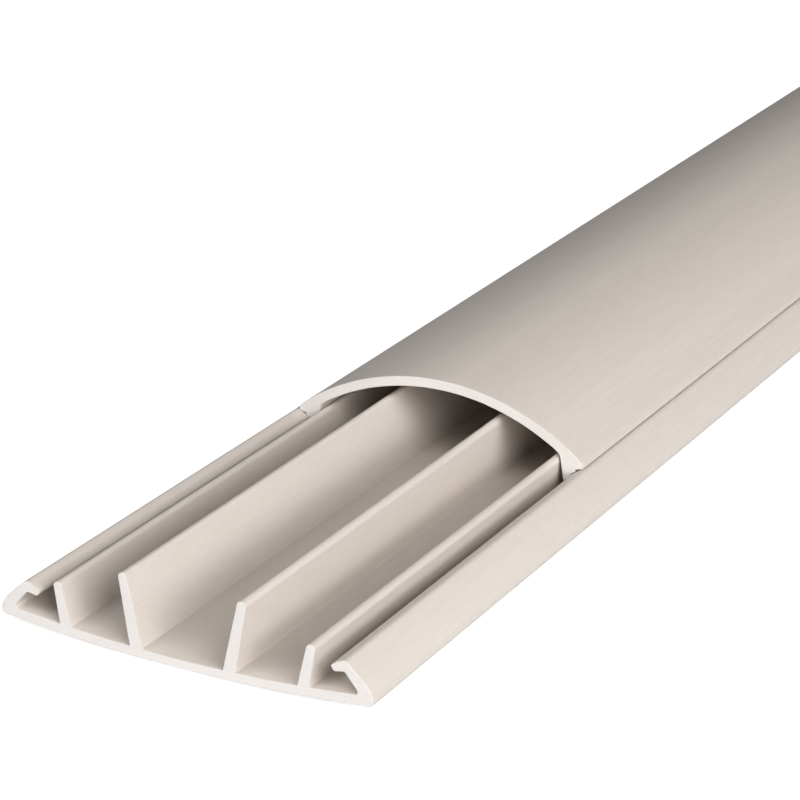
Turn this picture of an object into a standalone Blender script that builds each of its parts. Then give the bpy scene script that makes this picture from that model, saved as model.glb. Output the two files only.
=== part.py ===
"""Floor cord cover: a plastic base channel that lies on a floor, and the domed cover that clips over it.

Both are extrusions of one constant section, sawn square to the same stock length. Cords lie in the
three channels between the base's ribs. The cover's two legs stand in the slots beside the outer ribs,
with their barbs under the lips of the side walls, so the cover can be pushed along the base.

X runs across the section, Y along the stock and Z up. The origin is on the underside of the base,
at the middle of its width and of its length. Lengths are in metres.
"""

import math

import bpy

# The stock as it is sold, and how far the cover is pushed back from the base's front end
STOCK_LENGTH = 1.0
COVER_SETBACK = 0.0955

# Base channel: width over its side walls, and its floor, which bows up towards the edges
BASE_WIDTH = 0.075
FLOOR_THICKNESS = 0.0019
FLOOR_EDGE_X = 0.0369
FLOOR_EDGE_RISE = 0.0021
REST_STRIP_WIDTH = 0.016
BOTTOM_CORNER_RADIUS = 0.0009

# Side wall: it leans in from a rounded flank and ends in a lip that points down and inwards
FLANK_CORNER_Z = 0.0049
FLANK_RADIUS = 0.0026
LIP_CORNER = (0.0323, 0.00975)
LIP_CORNER_RADIUS = 0.0008
LIP_TIP_TOP = (0.0292, 0.0079)
LIP_TIP_BELOW = (0.0299, 0.007)
LIP_TIP_RADIUS = 0.0004
LIP_ROOT = (0.0319, 0.0074)
LIP_ROOT_RADIUS = 0.0005
WALL_FOOT_X = 0.0349
WALL_FOOT_RADIUS = 0.0005

# Ribs: both pairs lean outwards, square to the dome that comes down over them
RIB_LEAN = math.radians(11.0)
RIB_FOOT_RADIUS = 0.0004
RIB_TIP_ROUNDING = 0.9
INNER_RIB_FOOT_X = 0.0093
INNER_RIB_TOP_Z = 0.0156
INNER_RIB_ROOT_THICKNESS = 0.0023
INNER_RIB_TIP_THICKNESS = 0.0017
OUTER_RIB_FOOT_X = 0.0239
OUTER_RIB_TOP_Z = 0.0108
OUTER_RIB_ROOT_THICKNESS = 0.0021
OUTER_RIB_TIP_THICKNESS = 0.0017

# Domed cover: a dome of one radius, with a nose along each edge and a barbed leg under it
DOME_RADIUS = 0.049
DOME_TOP_Z = 0.02175
COVER_THICKNESS = 0.00205
NOSE_X = 0.0312
NOSE_RADIUS = 0.00045
NOSE_BELOW = (0.0313, 0.0095)
NOSE_BELOW_RADIUS = 0.00025
LEG_OUTER_X = 0.029
LEG_WAIST_Z = 0.00835
LEG_SHOULDER = (0.0296, 0.00895)
LEG_INNER_TOP_X = 0.02635
LEG_INNER_FOOT = (0.0276, 0.0043)
LEG_ROOT_RADIUS = 0.0015
BARB_UNDER_LIP = 0.00035
BARB_NOSE_X = 0.0309
BARB_NOSE_THICKNESS = 0.0007
TOE_X = 0.0286
TOE_RADIUS = 0.0003

# Steps along the curves of an outline
CORNER_STEPS = 5
FLANK_STEPS = 8
FLOOR_STEPS = 8
DOME_STEPS = 22

PLASTIC_COLOUR = (0.60, 0.55, 0.50, 1.0)
PLASTIC_ROUGHNESS = 0.45

# The floor's two faces are arcs about one centre, and the underside is cut flat in the middle
REST_STRIP_HALF = REST_STRIP_WIDTH / 2
BOW_CENTRE_Z = (FLOOR_EDGE_X**2 - REST_STRIP_HALF**2 + FLOOR_EDGE_RISE**2) / (2 * FLOOR_EDGE_RISE)
BOW_RADIUS = math.hypot(REST_STRIP_HALF, BOW_CENTRE_Z)
DOME_CENTRE_Z = DOME_TOP_Z - DOME_RADIUS


def floor_below(x):
    """Height of the floor's underside at x."""
    return BOW_CENTRE_Z - math.sqrt(BOW_RADIUS**2 - x**2)


def floor_above(x):
    """Height of the floor's upper face at x."""
    return BOW_CENTRE_Z - math.sqrt((BOW_RADIUS - FLOOR_THICKNESS) ** 2 - x**2)


def dome(x, depth=0.0):
    """The point at x on the dome, or on the face that lies depth below it."""
    return x, DOME_CENTRE_Z + math.sqrt((DOME_RADIUS - depth) ** 2 - x**2)


def along(face, start_x, end_x, steps):
    """Points on a face between two x, both ends included."""
    places = [start_x + (end_x - start_x) * i / steps for i in range(steps + 1)]
    return [(x, face(x)) for x in places]


def rounded(before, corner, after, radius, steps=CORNER_STEPS):
    """The arc that rounds the corner between two neighbouring points."""
    to_before = math.atan2(before[1] - corner[1], before[0] - corner[0])
    to_after = math.atan2(after[1] - corner[1], after[0] - corner[0])
    turn = (to_after - to_before + math.pi) % math.tau - math.pi
    bisector = to_before + turn / 2
    reach = radius / abs(math.sin(turn / 2))
    centre_x = corner[0] + reach * math.cos(bisector)
    centre_z = corner[1] + reach * math.sin(bisector)
    sweep = math.copysign(math.pi - abs(turn), turn)
    points = []
    for i in range(steps + 1):
        angle = bisector + math.pi + sweep * (0.5 - i / steps)
        points.append((centre_x + radius * math.cos(angle), centre_z + radius * math.sin(angle)))
    return points


def trace(corners):
    """Outline points from a list of (point, radius) or (point, radius, steps), its first and last kept."""
    points = [corners[0][0]]
    for before, (corner, *rounding), after in zip(corners, corners[1:-1], corners[2:]):
        if rounding[0]:
            points += rounded(before[0], corner, after[0], *rounding)
        else:
            points.append(corner)
    return points + [corners[-1][0]]


def rib(foot_x, top_z, root_thickness, tip_thickness):
    """A rib's four corners from its outer foot over its tip to its inner foot, with their radii."""
    height = top_z - floor_above(foot_x)
    top_x = foot_x + height * math.tan(RIB_LEAN)
    half_root = root_thickness / 2 / math.cos(RIB_LEAN)
    half_tip = tip_thickness / 2
    drop = half_tip * math.sin(RIB_LEAN)
    across = half_tip * math.cos(RIB_LEAN)
    tip_radius = half_tip * RIB_TIP_ROUNDING
    outer_foot, inner_foot = foot_x + half_root, foot_x - half_root
    return [
        ((outer_foot, floor_above(outer_foot)), RIB_FOOT_RADIUS),
        ((top_x + across, top_z - drop), tip_radius),
        ((top_x - across, top_z + drop), tip_radius),
        ((inner_foot, floor_above(inner_foot)), RIB_FOOT_RADIUS),
    ]


def mirrored(half):
    """A closed outline from its half at +X, which starts and ends beside the middle plane."""
    return half + [(-x, z) for x, z in reversed(half)]


def base_outline():
    """The base channel's section, anticlockwise from the edge of its flat strip."""
    outer_rib = rib(
        OUTER_RIB_FOOT_X, OUTER_RIB_TOP_Z, OUTER_RIB_ROOT_THICKNESS, OUTER_RIB_TIP_THICKNESS
    )
    inner_rib = rib(
        INNER_RIB_FOOT_X, INNER_RIB_TOP_Z, INNER_RIB_ROOT_THICKNESS, INNER_RIB_TIP_THICKNESS
    )
    half_width = BASE_WIDTH / 2
    underside = along(floor_below, REST_STRIP_HALF, FLOOR_EDGE_X, FLOOR_STEPS)
    channel_floor = along(floor_above, outer_rib[3][0][0], inner_rib[0][0][0], FLOOR_STEPS)
    middle_floor = along(floor_above, inner_rib[3][0][0], 0.0, FLOOR_STEPS)
    corners = [(point, 0.0) for point in underside[:-1]]
    corners += [
        ((half_width, underside[-1][1]), BOTTOM_CORNER_RADIUS),
        ((half_width, FLANK_CORNER_Z), FLANK_RADIUS, FLANK_STEPS),
        (LIP_CORNER, LIP_CORNER_RADIUS),
        (LIP_TIP_TOP, LIP_TIP_RADIUS),
        (LIP_TIP_BELOW, LIP_TIP_RADIUS),
        (LIP_ROOT, LIP_ROOT_RADIUS),
        ((WALL_FOOT_X, floor_above(WALL_FOOT_X)), WALL_FOOT_RADIUS),
    ]
    corners += outer_rib
    corners += [(point, 0.0) for point in channel_floor[2:-2]]
    corners += inner_rib
    corners += [(point, 0.0) for point in middle_floor[2:-1]]
    return mirrored(trace(corners))


def cover_outline():
    """The domed cover's section, anticlockwise from the middle of the dome's inner face."""
    inner_face_end = dome(LEG_INNER_TOP_X, COVER_THICKNESS)
    lip_underside_slope = (LIP_ROOT[1] - LIP_TIP_BELOW[1]) / (LIP_ROOT[0] - LIP_TIP_BELOW[0])
    barb_z = LIP_TIP_BELOW[1] - BARB_UNDER_LIP
    barb_top = (BARB_NOSE_X, barb_z + (BARB_NOSE_X - LIP_TIP_BELOW[0]) * lip_underside_slope)
    barb_root = (LEG_OUTER_X, barb_z + (LEG_OUTER_X - LIP_TIP_BELOW[0]) * lip_underside_slope)
    under_dome = [dome(LEG_INNER_TOP_X * i / DOME_STEPS, COVER_THICKNESS) for i in range(1, DOME_STEPS)]
    over_dome = [dome(NOSE_X * i / DOME_STEPS) for i in range(DOME_STEPS - 1, 0, -1)]
    corners = [(point, 0.0) for point in under_dome]
    corners += [
        (inner_face_end, LEG_ROOT_RADIUS),
        (LEG_INNER_FOOT, TOE_RADIUS),
        ((TOE_X, LEG_INNER_FOOT[1]), TOE_RADIUS),
        ((BARB_NOSE_X, barb_top[1] - BARB_NOSE_THICKNESS), TOE_RADIUS),
        (barb_top, TOE_RADIUS),
        (barb_root, TOE_RADIUS),
        ((LEG_OUTER_X, LEG_WAIST_Z), TOE_RADIUS),
        (LEG_SHOULDER, TOE_RADIUS),
        (NOSE_BELOW, NOSE_BELOW_RADIUS),
        (dome(NOSE_X), NOSE_RADIUS),
    ]
    corners += [(point, 0.0) for point in over_dome]
    return mirrored(trace(corners))


def plastic(name):
    """The warm light-grey plastic that both pieces are extruded from."""
    material = bpy.data.materials.new(name)
    material.use_nodes = True
    shader = material.node_tree.nodes["Principled BSDF"]
    shader.inputs["Base Color"].default_value = PLASTIC_COLOUR
    shader.inputs["Roughness"].default_value = PLASTIC_ROUGHNESS
    shader.inputs["Metallic"].default_value = 0.0
    return material


def extrusion(name, outline, front_y, collection):
    """One length of stock: the outline as a flat curve, extruded along Y from its front end."""
    curve = bpy.data.curves.new(name, "CURVE")
    curve.dimensions = "2D"
    curve.fill_mode = "BOTH"
    curve.extrude = STOCK_LENGTH / 2
    section = curve.splines.new("POLY")
    section.points.add(len(outline) - 1)
    for point, (x, z) in zip(section.points, outline):
        point.co = (x, z, 0.0, 1.0)
    section.use_cyclic_u = True
    curve.materials.append(plastic(name))
    stock = bpy.data.objects.new(name, curve)
    stock.location = (0.0, front_y + STOCK_LENGTH / 2, 0.0)
    stock.rotation_euler = (math.pi / 2, 0.0, 0.0)
    collection.objects.link(stock)
    return stock


def main():
    for obj in list(bpy.data.objects):
        bpy.data.objects.remove(obj, do_unlink=True)
    collection = bpy.data.collections.new("floor_cord_cover")
    bpy.context.scene.collection.children.link(collection)
    front_y = -STOCK_LENGTH / 2
    extrusion("base_channel", base_outline(), front_y, collection)
    extrusion("domed_cover", cover_outline(), front_y + COVER_SETBACK, collection)


main()
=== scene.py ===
import math

import bpy
from mathutils import Matrix, Vector


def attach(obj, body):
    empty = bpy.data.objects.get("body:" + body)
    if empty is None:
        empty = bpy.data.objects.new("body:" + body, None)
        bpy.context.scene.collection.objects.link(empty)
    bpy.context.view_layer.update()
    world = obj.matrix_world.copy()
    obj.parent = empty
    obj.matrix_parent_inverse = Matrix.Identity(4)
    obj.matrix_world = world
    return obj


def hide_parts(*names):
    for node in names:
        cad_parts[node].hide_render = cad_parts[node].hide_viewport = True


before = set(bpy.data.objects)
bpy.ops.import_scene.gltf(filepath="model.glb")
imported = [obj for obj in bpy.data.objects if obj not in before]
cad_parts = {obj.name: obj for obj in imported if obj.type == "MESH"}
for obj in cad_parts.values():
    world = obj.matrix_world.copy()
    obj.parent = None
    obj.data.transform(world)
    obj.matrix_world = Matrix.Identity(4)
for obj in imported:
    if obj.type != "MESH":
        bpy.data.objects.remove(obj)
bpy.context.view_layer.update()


# Base channel
# The long flat extrusion that lies on the floor: a thin bowed floor, two pairs of ribs and two side
# walls with inturned lips. It is hard, warm grey plastic drawn through a die, then sawn to length.

MM = 0.001
STOCK_LENGTH = 1.0
BASE_FRONT_END = -0.5


def arc(before, corner, after, radius, steps):
    """The points of an arc that rounds the corner between two neighbouring points."""
    to_before = math.atan2(before[1] - corner[1], before[0] - corner[0])
    to_after = math.atan2(after[1] - corner[1], after[0] - corner[0])
    turn = (to_after - to_before + math.pi) % math.tau - math.pi
    bisector = to_before + turn / 2
    reach = radius / abs(math.sin(turn / 2))
    centre = (corner[0] + reach * math.cos(bisector), corner[1] + reach * math.sin(bisector))
    sweep = math.copysign(math.pi - abs(turn), turn)
    angles = [bisector + math.pi + sweep * (0.5 - i / steps) for i in range(steps + 1)]
    return [(centre[0] + radius * math.cos(a), centre[1] + radius * math.sin(a)) for a in angles]


def draw_half(corners, steps=6):
    """Half a section in millimetres, from (x, z, corner radius) rows, its first and last points kept."""
    half = [corners[0][:2]]
    for before, (x, z, radius), after in zip(corners, corners[1:-1], corners[2:]):
        half += arc(before, (x, z), after, radius, steps) if radius else [(x, z)]
    return half + [corners[-1][:2]]


def face_rows(height, start_x, end_x, steps):
    """Sharp rows along a curved face, from one x to another."""
    places = [start_x + (end_x - start_x) * i / steps for i in range(steps + 1)]
    return [(x, height(x), 0.0) for x in places]


def section_curve(name, half, spacing):
    """The closed section as a curve in the XY plane, its points at most `spacing` millimetres apart."""
    outline = half + [(-x, z) for x, z in reversed(half)]
    points = []
    for (x, z), (next_x, next_z) in zip(outline, outline[1:] + outline[:1]):
        pieces = max(1, math.ceil(math.dist((x, z), (next_x, next_z)) / spacing))
        points += [(x + (next_x - x) * i / pieces, z + (next_z - z) * i / pieces) for i in range(pieces)]
    curve = bpy.data.curves.new(name, "CURVE")
    curve.dimensions = "3D"
    spline = curve.splines.new("POLY")
    spline.points.add(len(points) - 1)
    for point, (x, z) in zip(spline.points, points):
        point.co = (x * MM, z * MM, 0.0, 1.0)
    spline.use_cyclic_u = True
    return curve


class TreeMaker:
    """Adds nodes to a tree from left to right, and joins a value or a socket to each named input."""

    def __init__(self, tree):
        self.tree = tree
        self.column = 0

    def add(self, kind, inputs=(), **settings):
        node = self.tree.nodes.new(kind)
        node.location = (self.column, 0)
        self.column += 180
        for name, value in settings.items():
            setattr(node, name, value)
        for key, value in dict(inputs).items():
            if isinstance(value, bpy.types.NodeSocket):
                self.tree.links.new(value, node.inputs[key])
            else:
                node.inputs[key].default_value = value
        return node

    def maths(self, operation, *values):
        return self.add("ShaderNodeMath", dict(enumerate(values)), operation=operation).outputs[0]

    def weighted(self, *parts):
        """The sum of noise nodes, each times its own share."""
        total = 0.0
        for noise, share in parts:
            total = self.maths("MULTIPLY_ADD", noise.outputs["Fac"], share, total)
        return total

    def vector_maths(self, operation, *values):
        return self.add("ShaderNodeVectorMath", dict(enumerate(values)), operation=operation).outputs[0]


def sawn_extrusion_tree():
    """A section in the XY plane, swept along Z and turned to run along Y, with its two sawn ends."""
    tree = bpy.data.node_groups.new("Sawn extrusion", "GeometryNodeTree")
    sockets = tree.interface
    sockets.new_socket("Geometry", in_out="INPUT", socket_type="NodeSocketGeometry")
    for name in ("Front End", "Length", "Edge Break", "Die Line Depth", "Die Line Width"):
        socket = sockets.new_socket(name, in_out="INPUT", socket_type="NodeSocketFloat")
        socket.subtype = "DISTANCE"
    sockets.new_socket("Rings", in_out="INPUT", socket_type="NodeSocketInt")
    sockets.new_socket("Seed", in_out="INPUT", socket_type="NodeSocketFloat")
    sockets.new_socket("Skin", in_out="INPUT", socket_type="NodeSocketMaterial")
    sockets.new_socket("Sawn End", in_out="INPUT", socket_type="NodeSocketMaterial")
    sockets.new_socket("Geometry", in_out="OUTPUT", socket_type="NodeSocketGeometry")
    make = TreeMaker(tree)
    given = make.add("NodeGroupInput").outputs

    # The path runs up Z from the far end to the front end, with a short step inside each end
    far_z = make.maths("MULTIPLY", make.maths("ADD", given["Front End"], given["Length"]), -1.0)
    near_z = make.maths("MULTIPLY", given["Front End"], -1.0)
    line = make.add("GeometryNodeCurvePrimitiveLine")
    path = make.add("GeometryNodeResampleCurve", {
        "Curve": line.outputs["Curve"],
        "Count": given["Rings"],
    })
    ring = make.add("GeometryNodeInputIndex").outputs[0]
    last_ring = make.maths("SUBTRACT", given["Rings"], 1.0)
    before_ring = make.maths("SUBTRACT", ring, 1.0)
    inner = make.maths("DIVIDE", before_ring, make.maths("SUBTRACT", last_ring, 2.0))
    inner_z = make.add("ShaderNodeMapRange", {
        "Value": inner,
        "To Min": make.maths("ADD", far_z, given["Edge Break"]),
        "To Max": make.maths("SUBTRACT", near_z, given["Edge Break"]),
    }).outputs[0]
    is_first = make.maths("LESS_THAN", ring, 0.5)
    is_last = make.maths("GREATER_THAN", ring, make.maths("SUBTRACT", last_ring, 0.5))
    at_end = make.maths("ADD", is_first, is_last)
    first_z = make.maths("MULTIPLY", is_first, far_z)
    end_z = make.maths("ADD", first_z, make.maths("MULTIPLY", is_last, near_z))
    between = make.maths("SUBTRACT", 1.0, at_end)
    ring_z = make.maths("ADD", make.maths("MULTIPLY", inner_z, between), end_z)
    placed = make.add("GeometryNodeSetPosition", {
        "Geometry": path.outputs["Curve"],
        "Position": make.add("ShaderNodeCombineXYZ", {"Z": ring_z}).outputs[0],
    })
    captured = make.add("GeometryNodeCaptureAttribute", domain="POINT")
    captured.capture_items.new("FLOAT", "At End")
    tree.links.new(placed.outputs["Geometry"], captured.inputs["Geometry"])
    tree.links.new(at_end, captured.inputs["At End"])
    walls = make.add("GeometryNodeCurveToMesh", {
        "Curve": captured.outputs["Geometry"],
        "Profile Curve": given["Geometry"],
    }).outputs["Mesh"]
    end_ring = captured.outputs["At End"]

    # Die lines: the section wanders in and out by hundredths of a millimetre, alike along the length
    normal = make.add("GeometryNodeInputNormal").outputs[0]
    place = make.add("GeometryNodeInputPosition").outputs[0]
    flat_place = make.vector_maths("MULTIPLY", place, (1.0, 1.0, 0.0))
    seeded = make.add("ShaderNodeCombineXYZ", {"Z": given["Seed"]}).outputs[0]
    across = make.add("ShaderNodeVectorMath", {
        0: flat_place,
        "Scale": make.maths("DIVIDE", 1.0, given["Die Line Width"]),
    }, operation="SCALE").outputs[0]
    lines = make.add("ShaderNodeTexNoise", {
        "Vector": make.vector_maths("ADD", across, seeded),
        "Scale": 1.0, "Detail": 2.0, "Roughness": 0.6,
    }).outputs["Fac"]
    lift = make.maths("MULTIPLY", make.maths("SUBTRACT", lines, 1.0), given["Die Line Depth"])

    # The saw breaks the edges of both ends a little unevenly
    chips = make.add("ShaderNodeTexNoise", {
        "Vector": across,
        "Scale": 0.5, "Detail": 3.0, "Roughness": 0.7,
    }).outputs["Fac"]
    break_depth = make.maths("MULTIPLY", end_ring, given["Edge Break"])
    inset = make.maths("MULTIPLY", break_depth, make.maths("MULTIPLY", chips, 2.0))
    shift = make.add("ShaderNodeVectorMath", {
        0: normal,
        "Scale": make.maths("SUBTRACT", lift, inset),
    }, operation="SCALE").outputs[0]
    walls = make.add("GeometryNodeSetPosition", {"Geometry": walls, "Offset": shift}).outputs["Geometry"]

    # Each sawn end is the outline of the last ring, filled
    ring_reach = 0.000001
    height = make.add("ShaderNodeSeparateXYZ", {0: place}).outputs["Z"]
    parts = [walls]
    for end_z, turned in ((near_z, False), (far_z, True)):
        gap = make.maths("ABSOLUTE", make.maths("SUBTRACT", height, end_z))
        outline = make.add("GeometryNodeMeshToCurve", {
            "Mesh": walls,
            "Selection": make.maths("LESS_THAN", gap, ring_reach),
        }).outputs[0]
        filled = make.add("GeometryNodeFillCurve", {"Curve": outline}).outputs[0]
        if turned:
            filled = make.add("GeometryNodeFlipFaces", {"Mesh": filled}).outputs[0]
        parts.append(make.add("GeometryNodeTransform", {
            "Geometry": filled,
            "Translation": make.add("ShaderNodeCombineXYZ", {"Z": end_z}).outputs[0],
        }).outputs[0])
    joined = make.add("GeometryNodeJoinGeometry")
    for part in parts:
        tree.links.new(part, joined.inputs["Geometry"])
    welded = make.add("GeometryNodeMergeByDistance", {
        "Geometry": joined.outputs[0],
        "Distance": 2 * ring_reach,
    }).outputs[0]

    # Edges that turn sharply are creased, and the rest is smooth
    sharp_turn = math.radians(28)
    smooth = make.add("GeometryNodeSetShadeSmooth", {"Geometry": welded}).outputs[0]
    angle = make.add("GeometryNodeInputMeshEdgeAngle").outputs["Unsigned Angle"]
    smooth = make.add("GeometryNodeSetShadeSmooth", {
        "Geometry": smooth,
        "Selection": make.maths("GREATER_THAN", angle, sharp_turn),
        "Shade Smooth": False,
    }, domain="EDGE").outputs[0]
    stock = make.add("GeometryNodeTransform", {
        "Geometry": smooth,
        "Rotation": (math.pi / 2, 0.0, 0.0),
    }).outputs[0]

    # The two flat ends are sawn, and the rest is the skin from the die
    along = make.add("ShaderNodeSeparateXYZ", {0: place}).outputs["Y"]
    from_front = make.maths("SUBTRACT", along, given["Front End"])
    from_far = make.maths("SUBTRACT", given["Length"], from_front)
    from_cut = make.maths("MINIMUM", from_front, from_far)
    sawn = make.maths("LESS_THAN", from_cut, make.maths("MULTIPLY", given["Edge Break"], 0.25))
    real = make.add("GeometryNodeRealizeInstances", {"Geometry": stock}).outputs[0]
    skinned = make.add("GeometryNodeSetMaterial", {
        "Geometry": real,
        "Material": given["Skin"],
    }).outputs[0]
    finished = make.add("GeometryNodeSetMaterial", {
        "Geometry": skinned,
        "Selection": sawn,
        "Material": given["Sawn End"],
    }).outputs[0]
    make.add("NodeGroupOutput", {"Geometry": finished})
    return tree


def extruded(name, curve, tree, values):
    """The section's curve run through the tree, and its result as a plain mesh object."""
    maker = bpy.data.objects.new(name + "_section", curve)
    bpy.context.scene.collection.objects.link(maker)
    modifier = maker.modifiers.new("Sawn extrusion", "NODES")
    modifier.node_group = tree
    for socket in tree.interface.items_tree:
        if socket.in_out == "INPUT" and socket.name in values:
            modifier[socket.identifier] = values[socket.name]
    maker.update_tag()
    bpy.context.view_layer.update()
    evaluated = maker.evaluated_get(bpy.context.evaluated_depsgraph_get())
    mesh = bpy.data.meshes.new_from_object(evaluated)
    mesh.name = name

    # The tree's joining of parts leaves an empty material slot, which is taken out
    for slot in reversed(range(len(mesh.materials))):
        if mesh.materials[slot] is None:
            mesh.materials.pop(index=slot)
    bpy.data.objects.remove(maker)
    piece = bpy.data.objects.new(name, mesh)
    bpy.context.scene.collection.objects.link(piece)
    return piece


def marks_group(name, inputs):
    """An empty group of shader nodes with its named inputs, which puts out a tone and a height."""
    group = bpy.data.node_groups.new(name, "ShaderNodeTree")
    for socket_name in inputs:
        group.interface.new_socket(socket_name, in_out="INPUT", socket_type="NodeSocketFloat")
    for socket_name in ("Tone", "Height"):
        group.interface.new_socket(socket_name, in_out="OUTPUT", socket_type="NodeSocketFloat")
    make = TreeMaker(group)
    return group, make, make.add("NodeGroupInput").outputs


def drawn_skin_group():
    """Lines that the die draws along the plastic, soft bands beside them, and a fine grain."""
    group, make, given = marks_group("Drawn skin", ("Line Width", "Line Length", "Grain Size", "Seed"))
    place = make.add("ShaderNodeTexCoord").outputs["Object"]
    spot = make.add("ShaderNodeSeparateXYZ", {0: place}).outputs
    drawn = make.add("ShaderNodeCombineXYZ", {
        "X": make.maths("DIVIDE", spot["X"], given["Line Width"]),
        "Y": make.maths("DIVIDE", spot["Y"], given["Line Length"]),
        "Z": make.maths("DIVIDE", spot["Z"], given["Line Width"]),
    }).outputs[0]
    lines = make.add("ShaderNodeTexNoise", {
        "Vector": drawn, "W": given["Seed"],
        "Scale": 1.0, "Detail": 3.0,
    }, noise_dimensions="4D")
    bands = make.add("ShaderNodeTexNoise", {
        "Vector": drawn, "W": given["Seed"],
        "Scale": 0.16, "Detail": 1.0,
    }, noise_dimensions="4D")
    dashes = make.add("ShaderNodeTexNoise", {
        "Vector": make.vector_maths("MULTIPLY", drawn, (2.0, 25.0, 2.0)),
        "Scale": 1.0, "Detail": 2.0, "Roughness": 0.7,
    })
    grain = make.add("ShaderNodeTexNoise", {
        "Vector": place,
        "Scale": make.maths("DIVIDE", 1.0, given["Grain Size"]),
        "Detail": 2.0, "Roughness": 0.7,
    })
    long_marks = make.weighted((lines, 0.5), (bands, 0.5))
    fine_marks = make.weighted((dashes, 0.5), (grain, 0.5))
    long_share = make.maths("MULTIPLY", long_marks, 0.4)
    tone = make.maths("ADD", long_share, make.maths("MULTIPLY", fine_marks, 0.6))
    height = make.weighted((lines, 0.25), (dashes, 0.35), (grain, 0.4))
    make.add("NodeGroupOutput", {"Tone": tone, "Height": height})
    return group


def saw_marks_group():
    """Fine arcs that a round saw blade leaves across a cut, broken up by the torn plastic's grain."""
    group, make, given = marks_group("Saw marks", ("Blade X", "Blade Z", "Mark Width", "Grain Size"))
    place = make.add("ShaderNodeTexCoord").outputs["Object"]
    spot = make.add("ShaderNodeSeparateXYZ", {0: place}).outputs
    across = make.maths("SUBTRACT", spot["X"], given["Blade X"])
    up = make.maths("SUBTRACT", spot["Z"], given["Blade Z"])
    across_squared = make.maths("MULTIPLY", across, across)
    reach = make.maths("SQRT", make.maths("ADD", across_squared, make.maths("MULTIPLY", up, up)))
    arcs = make.add("ShaderNodeTexNoise", {
        "W": make.maths("DIVIDE", reach, given["Mark Width"]),
        "Scale": 1.0, "Detail": 2.0,
    }, noise_dimensions="1D")
    grain = make.add("ShaderNodeTexNoise", {
        "Vector": place,
        "Scale": make.maths("DIVIDE", 1.0, given["Grain Size"]),
        "Detail": 3.0, "Roughness": 0.7,
    })
    mixed = make.weighted((arcs, 0.5), (grain, 0.5))
    make.add("NodeGroupOutput", {"Tone": mixed, "Height": mixed})
    return group


def plastic(name, group, marks, shade, light, roughness, bump):
    """A satin plastic: its marks move the colour from a shade to a light, and change the gloss."""
    material = bpy.data.materials.new(name)
    material.use_nodes = True
    shader = material.node_tree.nodes["Principled BSDF"]
    make = TreeMaker(material.node_tree)
    marked = make.add("ShaderNodeGroup", node_tree=group)
    for key, value in marks.items():
        marked.inputs[key].default_value = value

    # Inputs 6 and 7 and output 2 of a mix node are the ones for colours
    colour = make.add("ShaderNodeMix", {
        0: marked.outputs["Tone"], 6: (*shade, 1.0), 7: (*light, 1.0),
    }, data_type="RGBA")
    gloss = make.add("ShaderNodeMapRange", {
        "Value": marked.outputs["Tone"], "From Min": 0.3, "From Max": 0.7,
        "To Min": roughness[0], "To Max": roughness[1],
    })
    relief = make.add("ShaderNodeBump", {
        "Height": marked.outputs["Height"], "Strength": 1.0, "Distance": bump,
    })
    links = material.node_tree.links
    links.new(colour.outputs[2], shader.inputs["Base Color"])
    links.new(gloss.outputs["Result"], shader.inputs["Roughness"])
    links.new(relief.outputs["Normal"], shader.inputs["Normal"])
    return material


WARM_GREY_SHADE = (0.49, 0.442, 0.402)
WARM_GREY_LIGHT = (0.73, 0.668, 0.613)
SKIN_RELIEF = 0.000017
GRAIN_SIZE = 0.0005
drawn_skin = drawn_skin_group()
base_skin = plastic(
    "base_skin", drawn_skin,
    {"Line Width": 0.0009, "Line Length": 0.12, "Grain Size": GRAIN_SIZE, "Seed": 2.0},
    shade=WARM_GREY_SHADE, light=WARM_GREY_LIGHT, roughness=(0.38, 0.5), bump=SKIN_RELIEF,
)
sawn_end = plastic(
    "sawn_end", saw_marks_group(),
    {"Blade X": 0.03, "Blade Z": -0.11, "Mark Width": 0.00035, "Grain Size": 0.0004},
    shade=(0.68, 0.645, 0.62), light=(0.8, 0.76, 0.735), roughness=(0.6, 0.75), bump=0.00002,
)

# The floor's two faces are arcs about one centre, and the underside is cut flat in the middle
HALF_WIDTH = 37.5
WALL_FOOT_X = 34.9
REST_STRIP_HALF = 8.0
FLOOR_EDGE_X = 36.9
FLOOR_EDGE_RISE = 2.1
FLOOR_THICKNESS = 1.9
BOW_CENTRE_Z = (FLOOR_EDGE_X**2 - REST_STRIP_HALF**2 + FLOOR_EDGE_RISE**2) / (2 * FLOOR_EDGE_RISE)
BOW_RADIUS = math.hypot(REST_STRIP_HALF, BOW_CENTRE_Z)
RIB_LEAN = math.radians(11)
RIB_FOOT_FILLET = 0.15
RIB_TIP_ROUNDING = 0.45
POINT_SPACING = 0.4


def underside(x):
    return BOW_CENTRE_Z - math.sqrt(BOW_RADIUS**2 - x**2)


def inside_floor(x):
    return BOW_CENTRE_Z - math.sqrt((BOW_RADIUS - FLOOR_THICKNESS) ** 2 - x**2)


def rib_rows(foot_x, top_z, root, tip):
    """A rib's corners from its outer foot, over its rounded tip, to its inner foot."""
    top_x = foot_x + (top_z - inside_floor(foot_x)) * math.tan(RIB_LEAN)
    outer = foot_x + root / 2 / math.cos(RIB_LEAN)
    inner = foot_x - root / 2 / math.cos(RIB_LEAN)
    across = tip / 2 * math.cos(RIB_LEAN)
    drop = tip / 2 * math.sin(RIB_LEAN)
    return [
        (outer, inside_floor(outer), RIB_FOOT_FILLET),
        (top_x + across, top_z - drop, tip * RIB_TIP_ROUNDING),
        (top_x - across, top_z + drop, tip * RIB_TIP_ROUNDING),
        (inner, inside_floor(inner), RIB_FOOT_FILLET),
    ]


outer_rib = rib_rows(23.95, 10.8, 2.3, 1.75)
inner_rib = rib_rows(9.4, 15.6, 2.5, 1.8)

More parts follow.
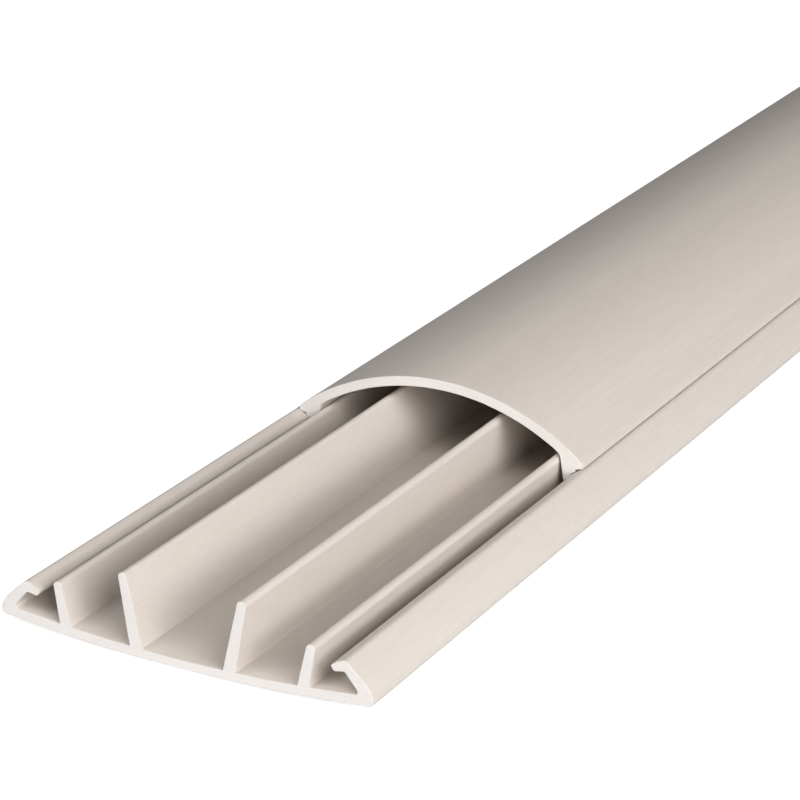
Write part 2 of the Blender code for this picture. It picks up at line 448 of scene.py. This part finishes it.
# From the rest strip out to the edge, up the wall, over the lip and back along the floor to the middle
base_half = draw_half(
    face_rows(underside, REST_STRIP_HALF, FLOOR_EDGE_X, 8)[:-1]
    + [
        (HALF_WIDTH, FLOOR_EDGE_RISE, 0.85),
        (HALF_WIDTH, 3.75, 3.0),
        (36.1, 5.95, 8.0),
        (32.07, 9.63, 1.0),
        (30.5, 9.0, 1.2),
        (29.15, 8.05, 0.42),
        (29.85, 7.0, 0.42),
        (31.9, 7.4, 0.5),
        (WALL_FOOT_X, inside_floor(WALL_FOOT_X), 0.5),
    ]
    + outer_rib
    + face_rows(inside_floor, outer_rib[3][0], inner_rib[0][0], 8)[2:-2]
    + inner_rib
    + face_rows(inside_floor, inner_rib[3][0], 0.0, 8)[2:-1]
)

# Both pieces are drawn and sawn alike, so they share these values
as_sawn = {
    "Length": STOCK_LENGTH,
    "Edge Break": 0.00008,
    "Die Line Depth": 0.00003,
    "Die Line Width": 0.0012,
    "Rings": 8,
    "Sawn End": sawn_end,
}
extrusion_tree = sawn_extrusion_tree()
base_curve = section_curve("base_section", base_half, POINT_SPACING)
base = extruded("base_extrusion", base_curve, extrusion_tree, {
    **as_sawn,
    "Front End": BASE_FRONT_END,
    "Seed": 3.0,
    "Skin": base_skin,
})
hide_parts("base_channel")
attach(base, "base")


# Domed cover
# A second extrusion of the same plastic, one low dome with a barbed leg along each side. Its legs are
# clipped between the base's outer ribs and lips, and it is pushed back to leave the base's end open.

COVER_SETBACK = 0.0955
DOME_RADIUS = 49.0
DOME_TOP = 21.74
COVER_THICKNESS = 2.05
LEG_TOP_X = 26.35
NOSE_X = 31.2


def dome(x, depth=0.0):
    return DOME_TOP - DOME_RADIUS + math.sqrt((DOME_RADIUS - depth) ** 2 - x**2)


def dome_inside(x):
    return dome(x, COVER_THICKNESS)


# From the middle out under the dome, down the leg, round its barb, up to the nose and back over the top
cover_half = draw_half(
    face_rows(dome_inside, 0.0, LEG_TOP_X, 40)[1:-1]
    + [
        (LEG_TOP_X, dome_inside(LEG_TOP_X), 2.0),
        (27.6, 4.3, 0.3),
        (28.6, 4.3, 0.3),
        (30.9, 6.15, 0.3),
        (30.9, 6.85, 0.3),
        (28.9, 6.45, 0.3),
        (28.9, 7.98, 0.15),
        (29.75, 8.52, 0.12),
        (29.8, 9.03, 0.12),
        (31.4, 9.38, 0.15),
        (NOSE_X, dome(NOSE_X), 0.45),
    ]
    + face_rows(dome, 0.0, NOSE_X, 40)[-2:0:-1]
)
cover_skin = plastic(
    "cover_skin", drawn_skin,
    {"Line Width": 0.0011, "Line Length": 0.2, "Grain Size": GRAIN_SIZE, "Seed": 7.0},
    shade=WARM_GREY_SHADE, light=WARM_GREY_LIGHT, roughness=(0.36, 0.5), bump=SKIN_RELIEF,
)
cover_curve = section_curve("cover_section", cover_half, POINT_SPACING)
cover = extruded("cover_extrusion", cover_curve, extrusion_tree, {
    **as_sawn,
    "Front End": BASE_FRONT_END + COVER_SETBACK,
    "Seed": 11.0,
    "Skin": cover_skin,
})
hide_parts("domed_cover")
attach(cover, "cover")


# Floor, lights and camera
# A wide sheet of paper that looks white and lies under soft lights, in a pale room. The camera stands
# low, in front of the open end and to its right, and a long lens brings the stock near.

PAPER_GREY = (0.5, 0.5, 0.5, 1.0)
PAPER_GLOW = 0.85
ROOM_LIGHT = 0.05
WHITE = (1.0, 1.0, 1.0, 1.0)
CAMERA_PLACE = (0.25595, -0.90803, 0.23808)

bpy.ops.mesh.primitive_plane_add(size=12.0)
floor = bpy.context.object
floor.name = "studio_floor"
paper = bpy.data.materials.new("studio_floor")
paper.use_nodes = True
shader = paper.node_tree.nodes["Principled BSDF"]
shader.inputs["Base Color"].default_value = PAPER_GREY
shader.inputs["Roughness"].default_value = 0.9
shader.inputs["Emission Color"].default_value = WHITE

# The paper looks white through a glow of its own, which lights nothing, so the stock keeps its shade
make = TreeMaker(paper.node_tree)
seen = make.add("ShaderNodeLightPath").outputs["Is Camera Ray"]
glow = make.maths("MULTIPLY", seen, PAPER_GLOW)
paper.node_tree.links.new(glow, shader.inputs["Emission Strength"])
floor.data.materials.append(paper)

world = bpy.data.worlds.new("studio")
bpy.context.scene.world = world
world.use_nodes = True
background = world.node_tree.nodes["Background"]
background.inputs["Color"].default_value = WHITE

# The room behind the paper looks white too, and gives a faint light from all sides
make = TreeMaker(world.node_tree)
seen = make.add("ShaderNodeLightPath").outputs["Is Camera Ray"]
room = make.maths("MAXIMUM", seen, ROOM_LIGHT)
world.node_tree.links.new(room, background.inputs["Strength"])


def softbox(name, azimuth, elevation, distance, width, height, power, aim_y=-0.3, spread=180):
    """A rectangular light that faces a place along the stock. Azimuth 0 is in front, 90 to the right."""
    data = bpy.data.lights.new(name, "AREA")
    data.shape = "RECTANGLE"
    data.size = width
    data.size_y = height
    data.energy = power
    data.spread = math.radians(spread)
    lamp = bpy.data.objects.new(name, data)
    bpy.context.scene.collection.objects.link(lamp)
    around = math.radians(azimuth)
    rise = math.radians(elevation)
    level = math.cos(rise)
    back = Vector((math.sin(around) * level, -math.cos(around) * level, math.sin(rise)))
    lamp.location = Vector((0.0, aim_y, 0.0)) + back * distance
    lamp.rotation_euler = back.to_track_quat("Z", "Y").to_euler()


softbox("key", 54, 30, 1.6, 1.0, 0.8, 20.2)
softbox("low_right", 70, 18, 1.6, 1.0, 0.4, 8.5)
softbox("low_front", 30, 9, 1.6, 1.0, 0.4, 4.7)
softbox("top_left", -30, 45, 1.6, 1.0, 0.8, 12.2)

# Two narrow beams light the far half, which the front lights hardly reach
softbox("rear_left", -97, 28, 1.3, 0.4, 0.4, 0.5, aim_y=0.55, spread=40)
softbox("rear_right", 97, 28, 1.3, 0.4, 0.4, 0.3, aim_y=0.6, spread=40)

camera_data = bpy.data.cameras.new("camera")
camera = bpy.data.objects.new("camera", camera_data)
bpy.context.scene.collection.objects.link(camera)
bpy.context.scene.camera = camera
camera_data.sensor_width = 36.0
camera_data.lens = 139.47
camera_data.clip_start = 0.01

# The camera's direction, tipped down and slightly rolled, as three axes
azimuth = math.radians(27.7135)
elevation = math.radians(21.3346)
roll = math.radians(0.894)
level = math.cos(elevation)
forward = Vector((-math.sin(azimuth) * level, math.cos(azimuth) * level, -math.sin(elevation)))
level_right = Vector((math.cos(azimuth), math.sin(azimuth), 0.0))
level_up = level_right.cross(forward)
right = level_right * math.cos(roll) + level_up * math.sin(roll)
up = level_up * math.cos(roll) - level_right * math.sin(roll)
turn = Matrix((right, up, -forward)).transposed().to_4x4()
camera.matrix_world = Matrix.Translation(CAMERA_PLACE) @ turn

bpy.context.scene.view_settings.view_transform = "Standard"
